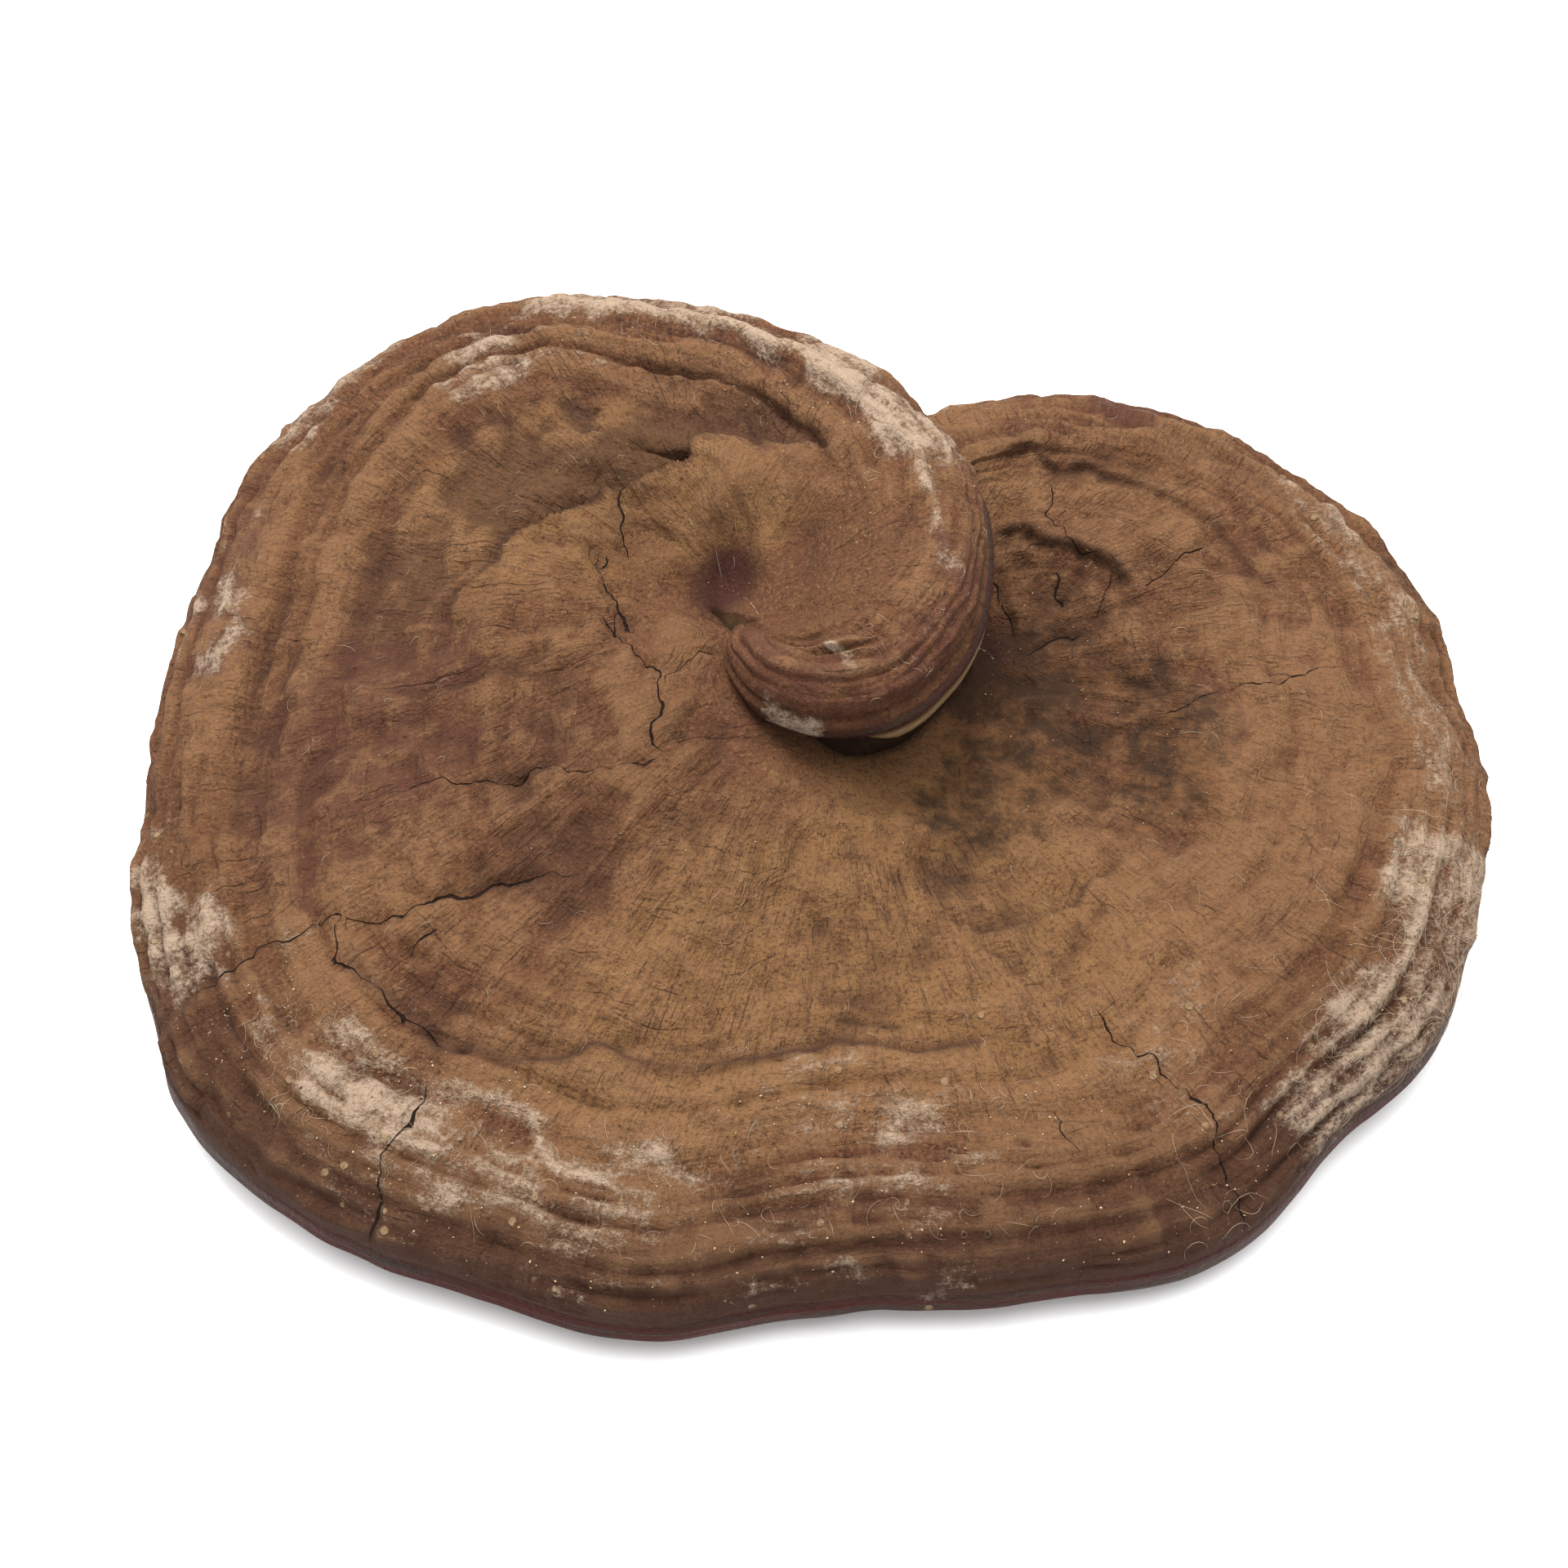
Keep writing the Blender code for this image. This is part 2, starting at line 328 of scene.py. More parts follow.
def nearest_on(line, x, y):
    """Distance to a line of points in mm, the side it is on, and the share of the way along it."""
    points = np.array(line, float)
    lengths = np.r_[0, np.cumsum(np.linalg.norm(np.diff(points, axis=0), axis=1))]
    best = np.full(x.shape, 1e9)
    side = np.ones(x.shape)
    way = np.zeros(x.shape)
    for k in range(len(points) - 1):
        ax, ay = points[k]
        dx, dy = points[k + 1] - points[k]
        span = dx * dx + dy * dy
        t = np.clip(((x - ax) * dx + (y - ay) * dy) / span, 0, 1)
        gap_x, gap_y = x - ax - t * dx, y - ay - t * dy
        distance = np.hypot(gap_x, gap_y)
        nearer = distance < best
        best = np.where(nearer, distance, best)
        side = np.where(nearer, np.sign(dx * gap_y - dy * gap_x), side)
        way = np.where(nearer, (lengths[k] + t * (lengths[k + 1] - lengths[k])) / lengths[-1], way)
    return best, side, way


spans = np.linalg.norm(np.diff(body, axis=1), axis=2)
out_from_hub = np.column_stack([np.zeros(SECTIONS), np.cumsum(spans, axis=1)])
inward = out_from_hub[:, widest_row][:, None] - out_from_hub
along_edge = np.broadcast_to(along[:, None], inward.shape)
turn_of = np.broadcast_to(turns[:, None], inward.shape)
growth = np.stack([along_edge, inward], axis=-1)
plan = body[..., :2]
x, y = plan[..., 0], plan[..., 1]
off_hub = ease(out_from_hub, 2, 16)
on_top = ease(inward, 1, 6) * (1 - under)
curl = ease(turn_of, 110, 50)

RIM_LINES = 4.4  # mm between the fine ridges on the rolled margin

# Ridges that follow the edge, deepest and closest on the rolled margin. Heights and sizes are in mm,
# and the last number of each set of lumps or grooves is only its seed.
wander = 3.0 * lumps(growth, 48, 1) + 1.2 * lumps(growth, 15, 2) + 0.5 * lumps(growth, 5, 14)
ringed = np.stack([along_edge / 26, inward + wander], axis=-1)
terraced = ease(inward, 9, 20) * ease(inward, 80, 40)
rim_zone = ease(inward, 48, 26)
detail = 1.15 * grooves(ringed, 8.0, 4) * (0.15 + 0.85 * terraced) * (1 - 0.6 * curl)
detail += 0.95 * grooves(ringed * (1.2, 1), 4.6, 5) * (0.25 + 0.75 * rim_zone) * (1 - 0.5 * curl)
detail += 0.45 * grooves(ringed * (1.6, 1), 2.6, 6) * (0.2 + 0.8 * rim_zone)
detail += 0.55 * curl * grooves(np.stack([along_edge / 30, inward + 0.6 * wander], axis=-1), 3.4, 36)
strayed = inward + 1.2 * lumps(growth, 40, 45) + 0.35 * lumps(growth, 9, 46)
lined = np.cos(2 * math.pi * strayed / RIM_LINES)
lined = lined * ease(inward, 3, 9) * ease(inward, 38, 26) * (1 - 0.7 * curl)
detail += 0.6 * lined * np.clip(0.7 + 0.6 * lumps(growth, 24, 47), 0.1, 1.2)

# Wrinkles across the ridges, folds in the middle of the cap, and dents all over.
crossed = np.stack([along_edge, (inward + wander) / 6], axis=-1)
puckered = (0.35 + 0.65 * ease(lumps(plan, 30, 15), -0.3, 0.4)) * ease(out_from_hub, 10, 40)
detail += 0.34 * lumps(crossed, 2.6, 7) * puckered
detail += 0.50 * lumps(crossed * (1, 1.6), 6.5, 8) * puckered
folded = plan + 4 * np.stack([lumps(plan, 18, 37), lumps(plan, 18, 38)], axis=-1)
in_middle = ease(out_from_hub, 14, 40) * ease(inward, 26, 48)
detail += 0.55 * grooves(folded, 14, 39) * in_middle * (1 - 0.5 * curl)
detail += 0.35 * grooves(folded, 7, 44) * (0.3 + 0.7 * in_middle) * (1 - 0.6 * curl)
detail += 0.60 * lumps(plan, 4.2, 11) * (1 - 0.5 * curl)
detail += 0.32 * lumps(plan, 2.3, 12)
detail *= off_hub * ease(inward, -1, 5) * (1 - 0.75 * curl * ease(share, 0.85, 0.5))

# Broad waves, and folds that run in towards the hub.
relief = 1.3 * lumps(ringed, 15, 3) * ease(inward, 10, 30) * (1 - 0.5 * curl) + detail
relief += 1.5 * lumps(plan, 21, 9) * ease(inward, 8, 32)
relief += 1.2 * lumps(plan, 8.5, 10) * ease(inward, 6, 20)
bent = turn_of / 8 + 1.2 * lumps(plan, 22, 16)
folds = np.stack([bent, share * 2.6], axis=-1)
relief += 1.3 * lumps(folds, 1.0, 13) * ease(out_from_hub, 10, 26) * ease(share, 0.65, 0.3)
relief *= off_hub * 0.92 + 0.08

# Swellings and hollows: x and y, half lengths and height in mm, and the turns they lie within.
SWELLINGS = (
    (-34, 13, 8, 8, 3.0, 150, 235),
    (-25, 31, 9, 8, -3.0, -20, 200),
    (-20, 50, 16, 9, 2.5, 20, 160),
    (-58, 62, 26, 9, -2.5, 60, 180),
    (-12, 68, 22, 7, -2.0, 20, 160),
    (47, 42, 14, 10, -2.0, 330, 476),
    (66, 78, 20, 5, -1.6, 330, 476),
    (12, -22, 22, 10, 2.0, 225, 330),
    (95, 30, 14, 22, 1.5, 330, 476),
)
for mid_x, mid_y, half_x, half_y, height, first, last in SWELLINGS:
    swell = np.exp(-(((x - mid_x) / half_x) ** 2) - ((y - mid_y) / half_y) ** 2)
    relief += height * swell * (turn_of >= first) * (turn_of <= last) * on_top

# Steps where one year's crust overhangs the next: line in mm, depth, reach of the fall, and turns.
OVERHANGS = (
    (
        ((-86, 17), (-84, 24), (-77, 32), (-73, 40), (-60, 49), (-48, 53), (-38, 56), (-34, 60), (-31, 66)),
        6.5, 12.0, 60, 200,
    ),
    (
        ((-36, 58), (-33, 63), (-27, 71), (-22, 72), (-17, 67), (-13, 63), (-6, 62), (2, 56)),
        3.0, 8.0, 20, 160,
    ),
    (((26, -52), (36, -50), (45, -46), (51, -43), (58, -37), (64, -30)), 1.8, 6.0, 270, 350),
    (((-118, 3), (-110, 8), (-100, 1), (-91, 1), (-76, 4), (-68, 1), (-60, 2)), 1.5, 5.0, 150, 250),
    (
        (
            (-104, -58), (-96, -66), (-81, -78), (-66, -83), (-50, -81),
            (-30, -84), (-8, -78), (14, -80), (34, -76),
        ),
        2.6, 7.0, 190, 310,
    ),
    (((101, 41), (98, 53), (93, 61), (84, 70), (70, 76), (61, 79), (48, 83), (37, 81)), 1.5, 7.0, 340, 476),
    (((72, 45), (69, 50), (63, 55), (55, 57), (46, 62), (38, 62)), 2.2, 7.0, 360, 476),
    (
        ((127, 54), (122, 64), (115, 67), (109, 74), (98, 83), (86, 86), (76, 92), (68, 101)),
        0.9, 4.0, 340, 476,
    ),
)

# Cracks: line in mm, half width and depth in mm, and the turns they lie within.
CRACKS = (
    (((-48, 54), (-49, 43), (-47, 34)), 0.8, 1.2, 60, 230),
    (((-51, 36), (-52, 30), (-49, 24), (-46, 18), (-46, 14)), 1.0, 1.6, 100, 300),
    (((-55, 37), (-54, 32), (-52, 30)), 0.6, 0.8, 100, 300),
    (
        ((-54, 21), (-51, 17), (-48, 13), (-42, 7), (-38, 1), (-38, -4), (-39, -15), (-36, -20)),
        0.9, 1.5, 100, 300,
    ),
    (((-38, 1), (-34, 4), (-31, 8), (-26, 10)), 0.7, 1.0, 150, 300),
    (((-35, -17), (-33, -13), (-30, -12), (-24, -10), (-18, -9)), 0.7, 1.0, 200, 300),
    (
        ((-36, -19), (-46, -20), (-60, -20), (-73, -22), (-88, -22), (-97, -22), (-105, -26)),
        0.7, 1.0, 150, 260,
    ),
    (
        (
            (-134, -67), (-119, -57), (-104, -52), (-97, -53), (-88, -50),
            (-77, -46), (-69, -43), (-59, -42), (-48, -40),
        ),
        0.9, 1.3, 150, 260,
    ),
    (((-94, -64), (-89, -58), (-82, -54)), 0.7, 0.9, 150, 260),
    (((-105, -53), (-103, -61), (-95, -67)), 0.8, 0.9, 150, 260),
    (((-95, -67), (-88, -73), (-80, -79)), 0.7, 0.8, 150, 260),
    (((-82, -86), (-85, -94), (-88, -101), (-92, -112), (-94, -120)), 0.9, 1.1, 180, 260),
    (((51, -70), (61, -80), (69, -89), (73, -97), (75, -104), (79, -114), (80, -122)), 0.7, 0.9, 270, 340),
    (((40, -93), (46, -102)), 0.6, 0.7, 270, 340),
    (((53, 74), (53, 66), (55, 61), (56, 57), (65, 55), (71, 49)), 0.8, 1.1, 370, 476),
    (((75, 46), (80, 49), (88, 56)), 0.7, 0.9, 350, 440),
    (((38, 54), (41, 51), (43, 45), (43, 38)), 0.8, 1.2, 370, 476),
    (((46, 32), (53, 36), (61, 36)), 0.8, 1.1, 340, 476),
    (((53, 52), (54, 47), (56, 43)), 0.6, 0.9, 340, 476),
    (((62, 40), (66, 45), (69, 49)), 0.6, 0.8, 340, 476),
    (((70, 10), (80, 9), (87, 12), (100, 14), (114, 18), (119, 17)), 0.5, 0.6, 330, 400),
    (((-30, 25), (-26, 23), (-22, 20), (-18, 15)), 1.1, 2.4, -214, 240),
)
FAR_FROM_CRACK = 5.0  # mm, for places that no crack is near
jog = lumps(plan, 1.8, 24)
wobble_x = x + 1.6 * lumps(plan, 7, 20) + 0.9 * lumps(plan, 3, 22) + 0.4 * jog
wobble_y = y + 1.6 * lumps(plan, 7, 21) + 0.9 * lumps(plan, 3, 23) + 0.4 * jog
bend_x = x + 1.8 * lumps(plan, 8, 20)
bend_y = y + 1.8 * lumps(plan, 8, 21)
crevice_shade = np.zeros(x.shape)
crack_side = np.full(x.shape, FAR_FROM_CRACK)
crack_depth = np.zeros(x.shape)
for line, depth, reach, first, last in OVERHANGS:
    distance, side, way = nearest_on(line, bend_x, bend_y)
    inside = ease(way, 0, 0.1) * ease(way, 1, 0.9) * on_top * (turn_of > first) * (turn_of < last)
    inside = inside * (0.8 + 0.35 * lumps(plan, 11, 25))
    fall = -depth * ease(distance, 0, 1.3) * np.exp(-distance / reach)
    lift = 0.4 * depth * np.exp(-distance / (0.8 * reach))
    relief += inside * np.where(side > 0, fall, lift)
    # Painted shade: a dark line at the foot of each overhang, in the hollow that its lip shades.
    crevice_shade = np.maximum(crevice_shade, inside * ease(distance - 0.5 * side, 2.4, 0.3) * min(1, depth / 3))
for line, wide, depth, first, last in CRACKS:
    distance, side, way = nearest_on(line, wobble_x, wobble_y)
    inside = ease(way, 0, 0.08) * ease(way, 1, 0.9) * (turn_of >= first) * (turn_of <= last) * on_top
    strength = inside * np.clip(0.75 + 0.6 * lumps(plan, 6, 30), 0.15, 1.3)
    relief -= strength * depth * np.exp(-((distance / (1.3 * wide)) ** 2))
    relief += strength * 0.3 * depth * np.exp(-(((distance - 2.6 * wide) / (1.5 * wide)) ** 2))
    nearer = (distance < np.abs(crack_side)) & (inside > 0)
    crack_side = np.where(nearer, distance * side, crack_side)
    crack_depth = np.where(nearer, strength * wide * ease(distance, 3.5, 1.5), crack_depth)

# Under the widest line a narrow groove, then a lacquered band with fine ridges of its own.
band_way = np.clip(-inward / np.maximum(drop, 1e-3)[:, None], 0, 1)
banded = ease(inward, 0.5, -1.5) * (1 - under)
ridged = 0.28 * np.cos(2.4 * inward + 1.2 * lumps(growth * (0.08, 1), 2.5, 31))
groove = 0.8 * np.exp(-(((inward + 0.6) / 0.9) ** 2))
swollen = 1.5 * np.sin(math.pi * ease(band_way, 0.12, 1.0)) - groove
edge_wave = 0.8 * lumps(growth * (1, 0), 24, 34) + 0.25 * lumps(growth * (1, 0), 8, 35)
relief = relief * (1 - banded) * ease(inward, -1, 5) + banded * (ridged + swollen) * margin_size[:, None]
relief += edge_wave * ease(inward, 16, 4) * (1 - under)
relief = relief * (1 - under) + under * (0.25 * lumps(plan, 9, 32) + 0.12 * lumps(plan, 3, 33))

# The stub of the stem is dented too.
rough = STEM_DENT * (lumps(stem, 9, 50) + 0.5 * lumps(stem, 3.5, 51)) * ease(stem[..., 2], 1, 4)
pushed = 1 + rough / np.hypot(stem[..., 0], stem[..., 1] + 0.01) * ease(stem[..., 2], 30, 20)
stem[..., :2] *= pushed[..., None]
stem[..., 2] += rough * ease(stem[..., 2], 20, 26)

# All of the relief is raised square to the smooth cap.
across = np.gradient(body, axis=1)
sweep = np.gradient(body, axis=0)
normal = np.cross(across, sweep)
length = np.linalg.norm(normal, axis=2, keepdims=True)
upright = np.zeros_like(normal)
upright[..., 2] = 1 - 2 * under
firm = ease(share, 0.01, 0.06)[..., None] * (length > 1e-9)
normal = normal / np.maximum(length, 1e-9) * firm + upright * (1 - firm)
body = body + normal * relief[..., None]

# --- Mesh of the mushroom -----------------------------------------------------------------------
# Cap and stem are one closed skin each, run together under the cap as the real flesh does.


def closed_rings(sections, first_vertex):
    """Quads round closed sections, and one face over each end."""
    count, around = sections.shape[:2]
    index = first_vertex + np.arange(count * around).reshape(count, around)
    after = np.roll(index, -1, axis=1)
    quads = np.stack([index[:-1], after[:-1], after[1:], index[1:]], axis=-1).reshape(-1, 4)
    return quads.tolist() + [index[0][::-1].tolist(), index[-1].tolist()]


points = np.concatenate([body.reshape(-1, 3), stem.reshape(-1, 3)]) * MM
faces = closed_rings(body, 0) + closed_rings(stem, body.shape[0] * body.shape[1])
skin = bpy.data.meshes.new("mushroom_skin")
skin.from_pydata(points.tolist(), [], faces)


def mark(name, on_cap, on_stem):
    """Stores one number for each point of the skin, for the crust to read."""
    layer = skin.attributes.new(name, "FLOAT", "POINT")
    stem_part = np.broadcast_to(on_stem, stem.shape[:2]).reshape(-1)
    layer.data.foreach_set("value", np.concatenate([on_cap.reshape(-1), stem_part]).astype(np.float32))


# Patches of mould, bare lacquer and stain: turns, distances in from the edge in mm, and strength.
MOULD = (
    (214, 232, 20, 36, 0.85),
    (222, 234, 5, 16, 0.55),
    (233, 262, 29, 35, 0.9),
    (233, 256, 14, 27, 0.55),
    (264, 272, 30, 40, 0.7),
    (274, 284, 26, 42, 0.8),
    (264, 282, 16, 26, 0.5),
    (262, 276, 46, 60, 0.5),
    (278, 290, 48, 62, 0.4),
    (240, 252, 1, 9, 0.6),
    (262, 270, 0, 8, 0.6),
    (273, 281, 0, 9, 0.7),
    (296, 312, 24, 50, 0.4),
    (88, 120, 5, 22, 0.9),
    (58, 90, 5, 22, 1.0),
    (44, 60, 10, 20, 0.75),
    (117, 132, 20, 42, 0.75),
    (136, 150, 5, 18, 0.85),
    (20, 44, 4, 16, 0.5),
    (-90, -66, 11, 18, 0.95),
    (-20, 2, 5, 14, 0.5),
    (-156, -104, -6, 4, 1.1),
    (316, 350, 0, 24, 0.85),
    (352, 398, 8, 28, 0.42),
    (192, 207, 6, 22, 1.0),
    (206, 216, 22, 34, 0.6),
    (165, 173, 6, 20, 0.9),
    (150, 215, 0, 8, 0.35),
    (400, 440, 4, 16, 0.35),
)
LACQUER = (
    (410, 424, 8, 24, 1.4),
    (170, 204, 30, 86, 0.75),
    (345, 372, 56, 84, 0.5),
    (378, 392, 40, 60, 0.6),
    (150, 178, 2, 26, 0.8),
    (100, 150, 26, 58, 0.4),
    (240, 310, 20, 30, 0.4),
    (-214, 40, -2, 16, 0.8),
    (290, 345, 26, 60, 0.4),
)
STAIN = (
    (330, 420, 92, 150, 0.95),
    (285, 345, 92, 130, 0.8),
    (325, 372, 62, 98, 0.8),
    (376, 392, 60, 84, 0.5),
    (-150, 40, -12, 3, 0.6),
)
# Ochre tone, partly painted highlight where faces turn towards the light: turns, distances in from the edge
# in mm, and strength.
OCHRE_AND_HIGHLIGHT_PATCHES = (
    (232, 318, 40, 110, 1.15),
    (262, 330, 84, 140, 0.9),
    (64, 172, 50, 112, 0.9),
    (395, 430, 30, 70, 0.5),
)
shifted_turn = turn_of + 5 * lumps(plan, 15, 40) + 3 * lumps(plan, 5, 41)
shifted_in = inward + 5 * lumps(plan, 13, 42) + 2.5 * lumps(plan, 4.5, 43)


def patches(places, soft_turn, soft_mm):
    """Greatest of some soft-edged, uneven patches."""
    total = np.zeros(inward.shape)
    for turn_from, turn_to, mm_from, mm_to, strength in places:
        in_turn = ease(shifted_turn, turn_from - soft_turn, turn_from + soft_turn)
        in_turn = in_turn * ease(shifted_turn, turn_to + soft_turn, turn_to - soft_turn)
        in_mm = ease(shifted_in, mm_from - soft_mm, mm_from + soft_mm)
        in_mm = in_mm * ease(shifted_in, mm_to + soft_mm, mm_to - soft_mm)
        total = np.maximum(total, strength * in_turn * in_mm)
    return total * (1 - under)


# Places with a look of their own: top of the stem, the pit, and the dark place beside the curl, partly
# stain and partly painted shadow of the curl.
stem_top = ease(stem[..., 2], 13, 22)
pit = np.exp(-(((x + 25) / 9) ** 2) - ((y - 33) / 8) ** 2) * (turn_of < 200)
curl_shadow_and_stain = np.exp(-(((x - 38) / 12) ** 2) - ((y - 36) / 10) ** 2) * (turn_of > 330) * on_top
mark("mould", patches(MOULD, 5, 4), 0.0)
mark("lacquer", patches(LACQUER, 9, 9), 0.7)
mark("pit", pit, 0.0)
# Stains, with painted shadow of the curl added beside it.
mark("stain_and_shadow", np.maximum(patches(STAIN, 12, 12), 1.1 * curl_shadow_and_stain), 0.9 * stem_top)
mark("ochre_and_highlight", patches(OCHRE_AND_HIGHLIGHT_PATCHES, 16, 16), 0.0)
mark("band", ease(inward + 2.5 * curl, 0.0, -1.6) * (1 - under), 1 - stem_top)
pore_lip = ease(inward, -6.6, -8.0) * ease(turn_of, -75, -45) * ease(turn_of, 95, 70)
mark("pores", np.maximum(under, pore_lip), 0.0)
mark("relief", relief * on_top, 0.0)
mark("detail", detail * on_top, 0.0)
mark("open", ease(out_from_hub, 8, 36), 1.0)
# Painted shade on the steep front of the rim, which the light from above and behind leaves darker.
front_rim_shade = ease(inward, 36, 3) * ease(turn_of, 185, 215) * ease(turn_of, 350, 320)
mark("front_rim_shade", front_rim_shade * (1 - under), 0.0)
# Painted shade at the overhangs, beside the curl and on the stem's top under the cap.
mark("crevice_shade", np.maximum(crevice_shade, 0.95 * curl_shadow_and_stain), 0.6 * stem_top)
mark("crack_side", crack_side, FAR_FROM_CRACK)
mark("crack_depth", crack_depth, 0.0)
mark("along", along_edge, 0.0)
mark("inward", inward, 60.0)

weld = bmesh.new()
weld.from_mesh(skin)
bmesh.ops.remove_doubles(weld, verts=weld.verts, dist=0.02 * MM)
bmesh.ops.triangulate(weld, faces=[face for face in weld.faces if len(face.verts) > 4])
bmesh.ops.recalc_face_normals(weld, faces=weld.faces)
weld.to_mesh(skin)
weld.free()
skin.shade_smooth()
mushroom = bpy.data.objects.new("mushroom_body", skin)
bpy.context.scene.collection.objects.link(mushroom)
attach(mushroom, "root")
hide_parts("mushroom")

# --- Crust --------------------------------------------------------------------------------------
# Lacquered crust under a coat of brown spore powder. Bare lacquer shows purple, mould is cream,
# damp left dark stains round the funnel, and the lower face is a pale layer of pores.
# Shade and highlight are painted into the colour too: in grooves, crevices and hollows, beside the curl, on
# the front of the rim, and on crests and faces towards the light.

crust = bpy.data.materials.new("reishi_crust")
crust.use_nodes = True
nodes = crust.node_tree.nodes
links = crust.node_tree.links
surface = nodes["Principled BSDF"]


def node(kind, **settings):
    made = nodes.new(kind)
    for name, value in settings.items():
        setattr(made, name, value)
    return made


def plug(source, socket):
    """Links an output to a socket, or sets the socket to a plain value."""
    if isinstance(source, bpy.types.NodeSocket):
        links.new(source, socket)
    else:
        socket.default_value = source


def marked(name):
    return node("ShaderNodeAttribute", attribute_name=name).outputs["Fac"]


def maths(operation, *values, clamp=False):
    made = node("ShaderNodeMath", operation=operation, use_clamp=clamp)
    for value, socket in zip(values, made.inputs):
        plug(value, socket)
    return made.outputs[0]


def add(*values):
    total = values[0]
    for value in values[1:]:
        total = maths("ADD", total, value)
    return total


def times(value, factor):
    return maths("MULTIPLY", value, factor)


def fit(value, low, high, new_low=0.0, new_high=1.0):
    """Carries a value from one range to another, smoothly and without leaving it."""
    made = node("ShaderNodeMapRange", interpolation_type="SMOOTHSTEP")
    for given, socket in zip((value, low, high, new_low, new_high), made.inputs):
        plug(given, socket)
    return made.outputs[0]


def scaled(where, size_mm, stretch):
    made = node("ShaderNodeVectorMath", operation="MULTIPLY")
    plug(where, made.inputs[0])
    made.inputs[1].default_value = [axis / size_mm for axis in stretch]
    return made.outputs[0]


def speckle(where, size_mm, detail=3.0, rough=0.55, stretch=(1, 1, 1)):
    """Noise from 0 to 1 with lumps of this size."""
    made = node("ShaderNodeTexNoise")
    plug(scaled(where, size_mm, stretch), made.inputs["Vector"])
    made.inputs["Scale"].default_value = 1.0
    made.inputs["Detail"].default_value = detail
    made.inputs["Roughness"].default_value = rough
    return made.outputs["Fac"]


def creases(where, size_mm, width, detail=2.0, stretch=(1, 1, 1)):
    """Thin branching lines, 1 on a line and 0 away from it."""
    off_line = maths("ABSOLUTE", maths("SUBTRACT", speckle(where, size_mm, detail, 0.5, stretch), 0.5))
    return fit(off_line, width, 0.0)


def blend(amount, under_colour, over_colour):
    made = node("ShaderNodeMix", data_type="RGBA")
    plug(amount, made.inputs["Factor"])
    plug(under_colour, made.inputs["A"])
    plug(over_colour, made.inputs["B"])
    return made.outputs["Result"]


place = node("ShaderNodeVectorMath", operation="SCALE")
plug(node("ShaderNodeTexCoord").outputs["Object"], place.inputs[0])
place.inputs["Scale"].default_value = 1 / MM
place = place.outputs[0]
gather = node("ShaderNodeCombineXYZ")
plug(marked("along"), gather.inputs["X"])
plug(marked("inward"), gather.inputs["Y"])
in_growth = gather.outputs[0]
height = marked("relief")
ridges = marked("detail")

POWDER = (0.0989, 0.0431, 0.0184, 1)
POWDER_RED = (0.0897, 0.0356, 0.0172, 1)
OCHRE_POWDER_AND_HIGHLIGHT = (0.1575, 0.0794, 0.031, 1)
PALE_POWDER_AND_HIGHLIGHT = (0.1748, 0.0897, 0.0414, 1)
DEEP_POWDER_AND_SHADE = (0.035, 0.015, 0.009, 1)
PURPLE = (0.055, 0.018, 0.011, 1)
PIT_PURPLE = (0.048, 0.017, 0.012, 1)
BLACK_STAIN_AND_SHADE = (0.017, 0.010, 0.006, 1)
RUST = (0.1242, 0.0517, 0.0184, 1)
CREAM = (0.3312, 0.2484, 0.1782, 1)
TAN = (0.2484, 0.161, 0.0874, 1)
BAND = (0.045, 0.007, 0.004, 1)
BAND_GREY = (0.032, 0.017, 0.011, 1)
PORES = (0.310, 0.216, 0.108, 1)
PORES_DARK = (0.194, 0.122, 0.058, 1)
CRACK = (0.013, 0.006, 0.003, 1)

# Powder: broad changes of hue, then streaks along the growth, then grain, with painted shade and painted
# highlight from the relief.
colour = blend(fit(speckle(place, 30, 4), 0.40, 0.62), POWDER, POWDER_RED)
# Ochre tone, partly painted highlight on the plateau and the front, which face the light.
ochre_and_highlight = fit(add(marked("ochre_and_highlight"), times(speckle(place, 12, 4), 0.7)), 0.45, 1.35)
colour = blend(times(ochre_and_highlight, 0.9), colour, OCHRE_POWDER_AND_HIGHLIGHT)
colour = blend(fit(speckle(place, 8, 5, 0.65), 0.48, 0.72, 0, 0.35), colour, PALE_POWDER_AND_HIGHLIGHT)
colour = blend(fit(speckle(place, 4, 5, 0.7), 0.48, 0.66, 0, 0.6), colour, POWDER_RED)
# Painted shade in the grooves of the fine relief, and painted highlight on its crests.
colour = blend(fit(ridges, 0.0, -1.5, 0, 0.6), colour, DEEP_POWDER_AND_SHADE)
colour = blend(fit(ridges, 0.3, 1.5, 0, 0.5), colour, PALE_POWDER_AND_HIGHLIGHT)
streaks = fit(speckle(in_growth, 2.6, 3, stretch=(0.12, 1, 1)), 0.52, 0.8, 0, 0.45)
colour = blend(streaks, colour, DEEP_POWDER_AND_SHADE)
nicks = fit(speckle(in_growth, 1.7, 2, 0.6, (1, 0.3, 1)), 0.50, 0.68, 0, 0.45)
colour = blend(times(nicks, marked("open")), colour, DEEP_POWDER_AND_SHADE)
colour = blend(fit(speckle(place, 1.0, 4, 0.8), 0.48, 0.68, 0, 0.7), colour, PALE_POWDER_AND_HIGHLIGHT)
colour = blend(fit(speckle(place, 0.9, 3, 0.75), 0.50, 0.66, 0, 0.7), colour, DEEP_POWDER_AND_SHADE)
# Painted shade in the hollows of the broad relief.
colour = blend(fit(height, 0.3, -2.2, 0, 0.55), colour, DEEP_POWDER_AND_SHADE)
# Painted shade on the front of the rim.
colour = blend(times(marked("front_rim_shade"), 0.85), colour, DEEP_POWDER_AND_SHADE)
# Painted highlight on the swellings of the broad relief.
colour = blend(fit(height, 0.8, 2.6, 0, 0.30), colour, PALE_POWDER_AND_HIGHLIGHT)

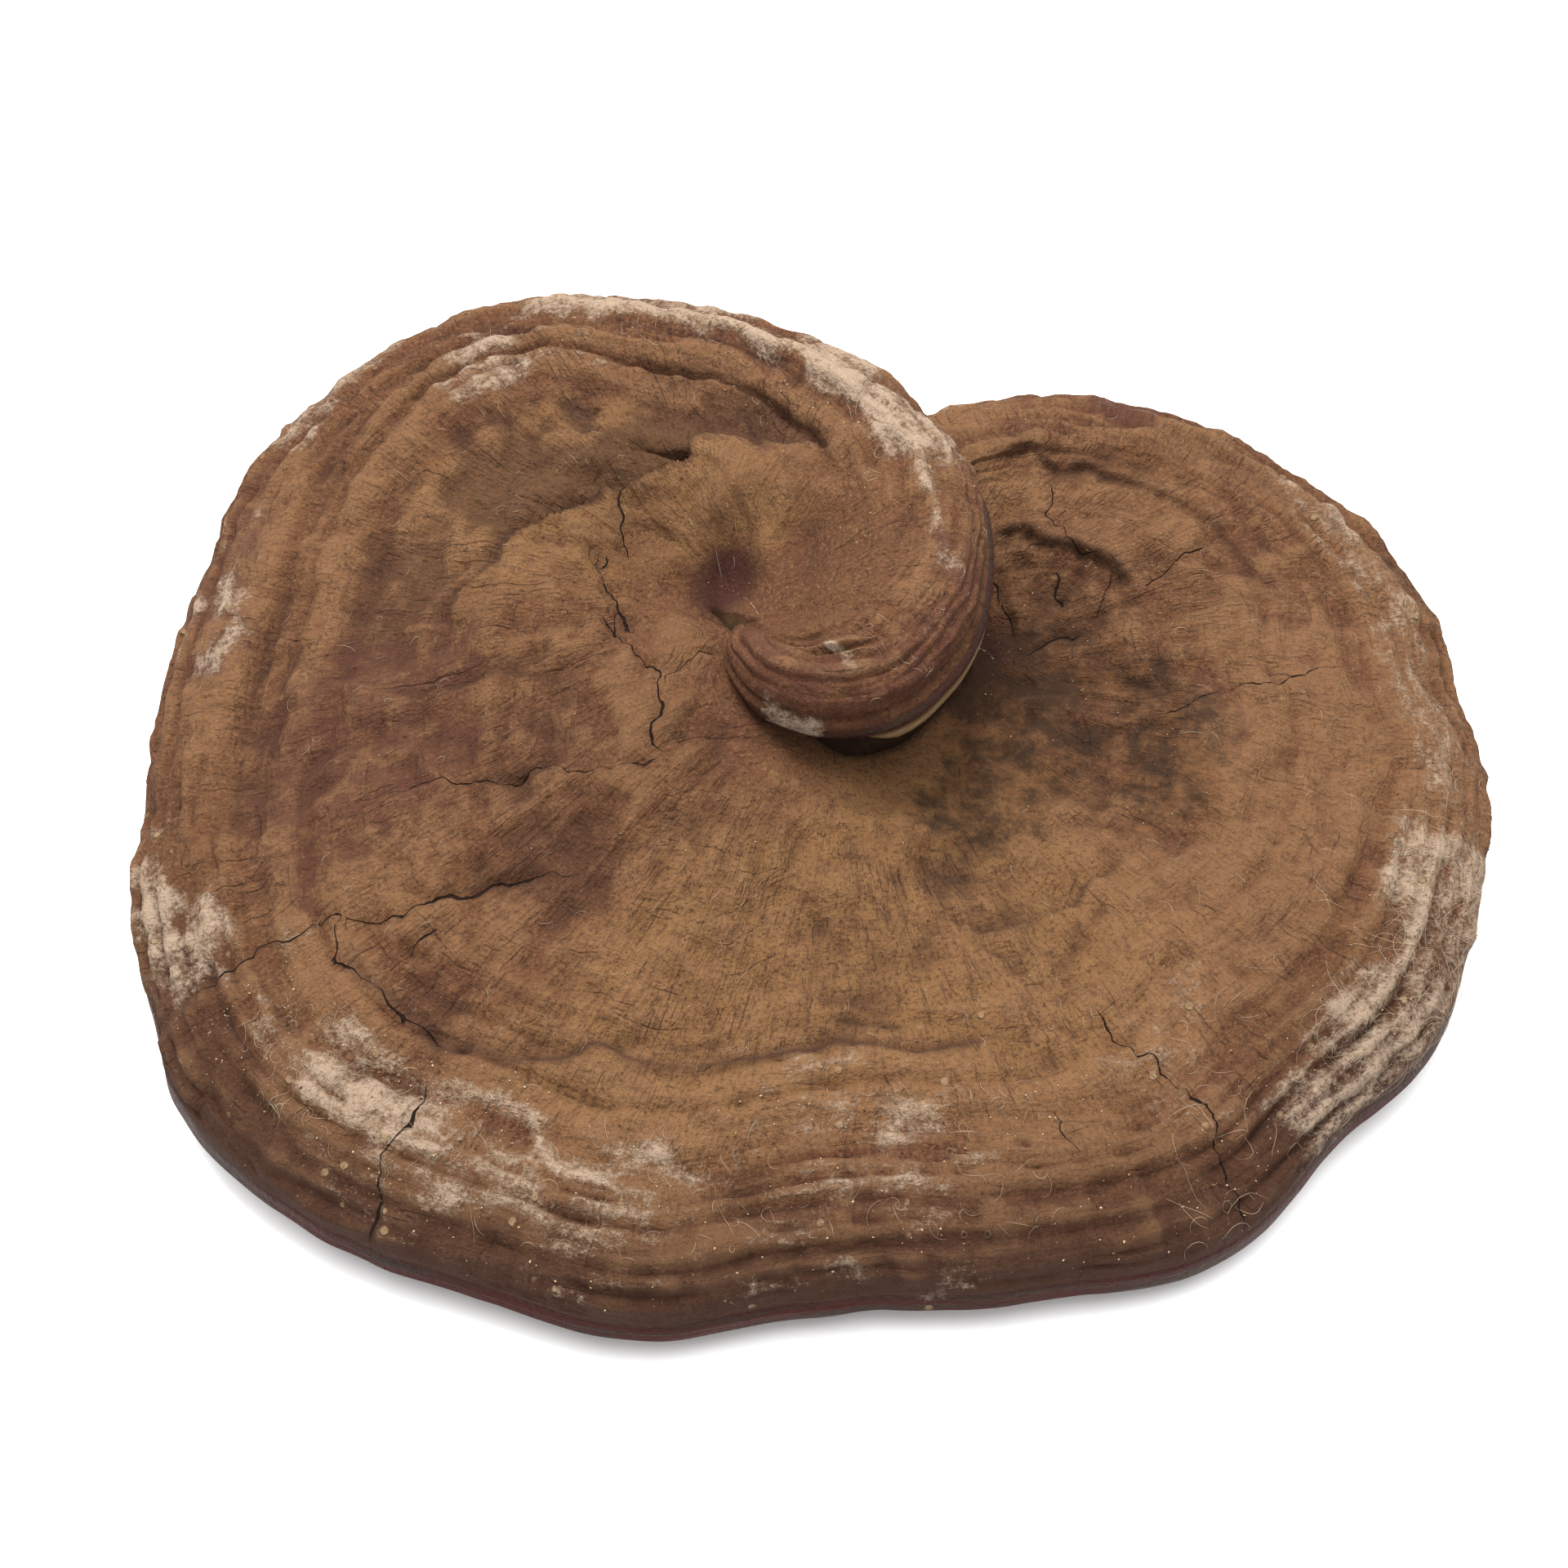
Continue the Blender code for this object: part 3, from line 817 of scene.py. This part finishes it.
# Worn places, damp stains with painted shadow of the curl among them, and the lacquered band.
worn = fit(add(times(marked("lacquer"), 0.5), speckle(place, 6, 6, 0.7)), 0.68, 0.98)
colour = blend(times(worn, 0.7), colour, PURPLE)
colour = blend(fit(add(marked("pit"), times(speckle(place, 6, 4), 0.4)), 0.35, 1.1), colour, PIT_PURPLE)
stain_and_shadow_amount = fit(add(times(marked("stain_and_shadow"), 0.48), speckle(place, 9, 6, 0.75)), 0.70, 1.02)
rusty = fit(add(times(marked("stain_and_shadow"), 0.5), speckle(place, 8, 4, 0.6)), 0.75, 1.0)
colour = blend(times(rusty, 0.5), colour, RUST)
colour = blend(times(stain_and_shadow_amount, 0.8), colour, BLACK_STAIN_AND_SHADE)
band_streaks = fit(speckle(in_growth, 1.7, 3, stretch=(0.04, 1, 1)), 0.42, 0.62)
colour = blend(marked("band"), colour, blend(band_streaks, BAND, BAND_GREY))

# Mould: grains that thicken into crusts, and small round colonies.
grainy = add(times(marked("mould"), 0.50), times(speckle(in_growth, 5, 6, 0.75, (0.4, 1, 1)), 0.9))
grainy = add(grainy, times(speckle(place, 1.3, 3, 0.8), 0.8), times(ridges, 0.09))
mouldy = fit(grainy, 1.16, 1.52)
colour = blend(times(mouldy, 0.78), colour, CREAM)
cells = node("ShaderNodeTexVoronoi")
plug(scaled(place, 4.2, (1, 1, 1)), cells.inputs["Vector"])
cells.inputs["Scale"].default_value = 1.0
chosen = node("ShaderNodeSeparateColor")
plug(cells.outputs["Color"], chosen.inputs[0])
colony = times(fit(cells.outputs["Distance"], 0.26, 0.16), fit(chosen.outputs[0], 0.80, 0.84))
colony = times(colony, fit(marked("mould"), 0.12, 0.35))
colour = blend(times(colony, 0.75), colour, TAN)

colour = blend(marked("pores"), colour, blend(speckle(place, 14, 4), PORES, PORES_DARK))
opening = maths("SUBTRACT", marked("crack_depth"), times(maths("ABSOLUTE", marked("crack_side")), 2.9))
cracked = fit(opening, 0.0, 0.4)
patchy = fit(speckle(place, 16, 3), 0.46, 0.62)
fine_creases = times(creases(in_growth, 16, 0.022, 3, (1.6, 0.5, 1)), times(patchy, marked("open")))
ring_creases = times(creases(in_growth, 9, 0.024, 3, (0.2, 1, 1)), fit(speckle(place, 13, 3), 0.48, 0.62))
hidden = maths("MAXIMUM", marked("band"), maths("MAXIMUM", marked("pores"), mouldy))
bare = maths("SUBTRACT", 1.0, hidden)
dips = times(add(times(fine_creases, 0.9), times(ring_creases, 0.8)), bare)
colour = blend(times(dips, 0.2), colour, DEEP_POWDER_AND_SHADE)
# Painted shade in the crevices.
colour = blend(times(marked("crevice_shade"), 0.9), colour, DEEP_POWDER_AND_SHADE)
colour = blend(cracked, colour, CRACK)
plug(colour, surface.inputs["Base Color"])

dull = maths("SUBTRACT", 0.9, times(maths("MAXIMUM", times(worn, 0.6), marked("band")), 0.42))
plug(dull, surface.inputs["Roughness"])
surface.inputs["Specular IOR Level"].default_value = 0.12

wrinkles = times(times(speckle(in_growth, 1.5, 3, 0.6, (1, 0.25, 1)), marked("open")), 0.85)
lines = times(speckle(in_growth, 1.2, 2, 0.6, (0.1, 1, 1)), 0.45)
pimples = times(speckle(place, 1.9, 3, 0.6), 0.85)
powder_grain = times(speckle(place, 0.7, 4, 0.75), 0.55)
crumbs = add(times(mouldy, 0.30), times(colony, 0.5))
fine = add(wrinkles, lines, pimples, powder_grain, crumbs)
fine = maths("SUBTRACT", fine, times(dips, 0.35))
fine = maths("SUBTRACT", fine, times(cracked, 1.0))
bump = node("ShaderNodeBump")
bump.inputs["Strength"].default_value = 1.22
bump.inputs["Distance"].default_value = MM
plug(fine, bump.inputs["Height"])
plug(bump.outputs["Normal"], surface.inputs["Normal"])
skin.materials.append(crust)

# --- Mould threads ------------------------------------------------------------------------------
# Dry threads that the mould spun over the crust, finer than hair. They lie loose and curved on it,
# thickest on the right margin, and a few stray ones lie all over the cap.

THREAD_RADIUS = 0.038
THREAD_SIDES = 3
THREAD_POINTS = 9
# Turns, distances in from the edge in mm, how many threads, their length in mm, and how high they arch.
THREADS = (
    (322, 350, 1, 24, 120, 26.0, 1.2),
    (300, 360, 2, 40, 70, 14.0, 0.6),
    (212, 236, 14, 38, 90, 9.0, 0.7),
    (232, 290, 12, 42, 130, 8.0, 0.6),
    (60, 130, 4, 30, 90, 9.0, 0.6),
    (90, 330, 30, 95, 150, 7.0, 0.5),
    (345, 430, 6, 80, 80, 7.0, 0.5),
    (-60, 60, 2, 20, 30, 6.0, 0.4),
)
chance = np.random.default_rng(7)
cap_rows = widest_row + 1
cap_skin = body[:, :cap_rows]
cap_normal = normal[:, :cap_rows]
first_row = int(np.searchsorted(shares, 0.06))


def on_cap(turn, deep, lift):
    """Places on the cap at these turns, this many mm in from its edge and this high over it."""
    section = np.clip(np.interp(turn, turns, np.arange(SECTIONS)), 0, SECTIONS - 1.001)
    low = section.astype(int)
    part = (section - low)[:, None]
    found = []
    for column in (low, low + 1):
        depths = inward[column, first_row:cap_rows]
        row = first_row + (depths > deep[:, None]).sum(axis=1)
        row = np.clip(row, first_row + 1, cap_rows - 1)
        near, far = inward[column, row], inward[column, row - 1]
        share_back = np.clip((deep - near) / np.maximum(far - near, 1e-6), 0, 1)[:, None]
        spot = cap_skin[column, row] * (1 - share_back) + cap_skin[column, row - 1] * share_back
        found.append(spot + cap_normal[column, row] * np.asarray(lift)[:, None])
    return found[0] * (1 - part) + found[1] * part


def strung(lines, radius, sides):
    """One mesh of thin tubes that taper to both ends, through lines of points in mm."""
    corners, sheets = [], []
    base = 0
    for line in lines:
        count = len(line)
        run = np.gradient(line, axis=0)
        run /= np.maximum(np.linalg.norm(run, axis=1, keepdims=True), 1e-9)
        aside = np.cross(run, (0.3, 0.2, 0.93))
        aside /= np.maximum(np.linalg.norm(aside, axis=1, keepdims=True), 1e-9)
        raised = np.cross(aside, run)
        taper = 0.35 + 0.65 * np.sin(np.linspace(0, math.pi, count))
        for way_round in range(sides):
            angle = 2 * math.pi * way_round / sides
            out_to_side = aside * math.cos(angle) + raised * math.sin(angle)
            corners.append(line + radius * taper[:, None] * out_to_side)
        for step in range(count - 1):
            for way_round in range(sides):
                after = (way_round + 1) % sides
                a, b = base + way_round * count + step, base + after * count + step
                sheets.append((a, b, b + 1, a + 1))
        base += sides * count
    return np.concatenate(corners), sheets


def plain_look(name, tint, roughness):
    look = bpy.data.materials.new(name)
    look.use_nodes = True
    face = look.node_tree.nodes["Principled BSDF"]
    face.inputs["Base Color"].default_value = tint
    face.inputs["Roughness"].default_value = roughness
    face.inputs["Specular IOR Level"].default_value = 0.2
    return look


def lay(name, corners, sheets, look):
    """Adds a mesh that lies on the mushroom and goes with it."""
    mesh = bpy.data.meshes.new(name)
    mesh.from_pydata((np.asarray(corners) * MM).tolist(), [], sheets)
    mesh.materials.append(look)
    mesh.shade_smooth()
    piece = bpy.data.objects.new(name, mesh)
    bpy.context.scene.collection.objects.link(piece)
    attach(piece, "root")


threads = []
for turn_from, turn_to, deep_from, deep_to, count, length, arch in THREADS:
    for _ in range(count):
        turn = chance.uniform(turn_from, turn_to)
        deep = chance.uniform(deep_from, deep_to)
        reach = length * chance.uniform(0.4, 1.0)
        steps = np.linspace(-0.5, 0.5, THREAD_POINTS)
        heading_now = chance.uniform(0, 2 * math.pi) + chance.normal(0, 1.6) * steps * 2
        out = np.cumsum(np.sin(heading_now)) * reach / THREAD_POINTS
        round_edge = np.cumsum(np.cos(heading_now)) * reach / THREAD_POINTS
        per_turn = np.interp(turn, turns, np.gradient(along, turns))
        place_turn = turn + (round_edge - round_edge.mean()) / per_turn
        place_deep = np.clip(deep + out - out.mean(), 0.5, 400)
        lift = THREAD_RADIUS + arch * chance.uniform(0, 1) * np.cos(steps * math.pi) ** 2
        threads.append(on_cap(place_turn, place_deep, lift))
corners, sheets = strung(threads, THREAD_RADIUS, THREAD_SIDES)
lay("mould_threads", corners, sheets, plain_look("mould_thread", (0.33, 0.25, 0.17, 1), 0.9))

# --- Crumbs and dust ----------------------------------------------------------------------------
# Pale crumbs of dry mould and pore stuff that fell on the cap and stuck there, and darker crumbs
# of crust. Each is a rough little lump half sunk in the powder.

# Turns, distances in from the edge in mm, how many crumbs, and their smallest and largest radius in mm.
CRUMBS = (
    (20, 440, 2, 110, 800, 0.07, 0.22),
    (225, 300, 4, 44, 420, 0.08, 0.34),
    (208, 240, 10, 40, 300, 0.08, 0.32),
    (330, 450, 50, 130, 260, 0.08, 0.26),
    (300, 352, 1, 30, 260, 0.08, 0.32),
    (40, 130, 4, 40, 200, 0.08, 0.28),
)
LUMP = ((1, 0, 0), (0, 1, 0), (-1, 0, 0), (0, -1, 0), (0, 0, 1), (0, 0, -1))
LUMP_SIDES = ((0, 1, 4), (1, 2, 4), (2, 3, 4), (3, 0, 4), (1, 0, 5), (2, 1, 5), (3, 2, 5), (0, 3, 5))
DARK_SHARE = 0.25


def scatter(places, dark):
    """Corners and faces of the crumbs of one kind."""
    corners, sheets = [], []
    for turn_from, turn_to, deep_from, deep_to, count, small, large in places:
        count = int(count * (DARK_SHARE if dark else 1))
        spot_turn = chance.uniform(turn_from, turn_to, count)
        spot_deep = chance.uniform(deep_from, deep_to, count)
        radius = small + (large - small) * chance.random(count) ** 3
        middles = on_cap(spot_turn, spot_deep, 0.3 * radius)
        for middle, size in zip(middles, radius):
            shape = np.array(LUMP, float) * size * chance.uniform(0.6, 1.3, (6, 1))
            shape += chance.normal(0, 0.2 * size, (6, 3))
            first = 6 * len(corners)
            corners.append(middle + shape)
            sheets += [tuple(first + k for k in side) for side in LUMP_SIDES]
    return np.concatenate(corners), sheets


lay("pale_crumbs", *scatter(CRUMBS, False), plain_look("dry_mould", (0.34, 0.24, 0.15, 1), 0.9))
lay("dark_crumbs", *scatter(CRUMBS, True), plain_look("crust_crumb", (0.045, 0.018, 0.010, 1), 0.8))

# --- Table, light and camera --------------------------------------------------------------------
# The mushroom rests on a plain white sheet under wide, soft, white light.

FLOOR_SIZE = 30.0
CAMERA_AIM = Vector((-0.0114, -0.0171, 0.038))
CAMERA_DISTANCE = 0.4275
CAMERA_ELEVATION = math.radians(50)
CAMERA_LENS = 45.0

bpy.ops.mesh.primitive_plane_add(size=FLOOR_SIZE)
floor = bpy.context.object
floor.name = "white_sheet"
paper = bpy.data.materials.new("white_paper")
paper.use_nodes = True
paper.node_tree.nodes["Principled BSDF"].inputs["Base Color"].default_value = (0.92, 0.92, 0.92, 1)
paper.node_tree.nodes["Principled BSDF"].inputs["Roughness"].default_value = 0.9
floor.data.materials.append(paper)


def soft_lamp(name, position, size, power, aim=(0, 0, 0.03)):
    lamp = bpy.data.lights.new(name, "AREA")
    lamp.shape = "DISK"
    lamp.size = size
    lamp.energy = power
    placed = bpy.data.objects.new(name, lamp)
    placed.location = position
    placed.rotation_euler = (Vector(aim) - Vector(position)).to_track_quat("-Z", "Y").to_euler()
    bpy.context.scene.collection.objects.link(placed)


soft_lamp("window", (-0.20, 0.36, 1.05), 0.7, 17)
soft_lamp("ceiling", (0, 0.1, 1.4), 1.6, 31)
world = bpy.data.worlds.new("white_room")
world.use_nodes = True
world.node_tree.nodes["Background"].inputs["Color"].default_value = (1, 1, 1, 1)
world.node_tree.nodes["Background"].inputs["Strength"].default_value = 1.0
bpy.context.scene.world = world
bpy.context.scene.view_settings.view_transform = "Standard"

camera_data = bpy.data.cameras.new("camera")
camera_data.lens = CAMERA_LENS
camera = bpy.data.objects.new("camera", camera_data)
back = Vector((0, -math.cos(CAMERA_ELEVATION), math.sin(CAMERA_ELEVATION)))
camera.location = CAMERA_AIM + back * CAMERA_DISTANCE
camera.rotation_euler = back.to_track_quat("Z", "Y").to_euler()
bpy.context.scene.collection.objects.link(camera)
bpy.context.scene.camera = camera
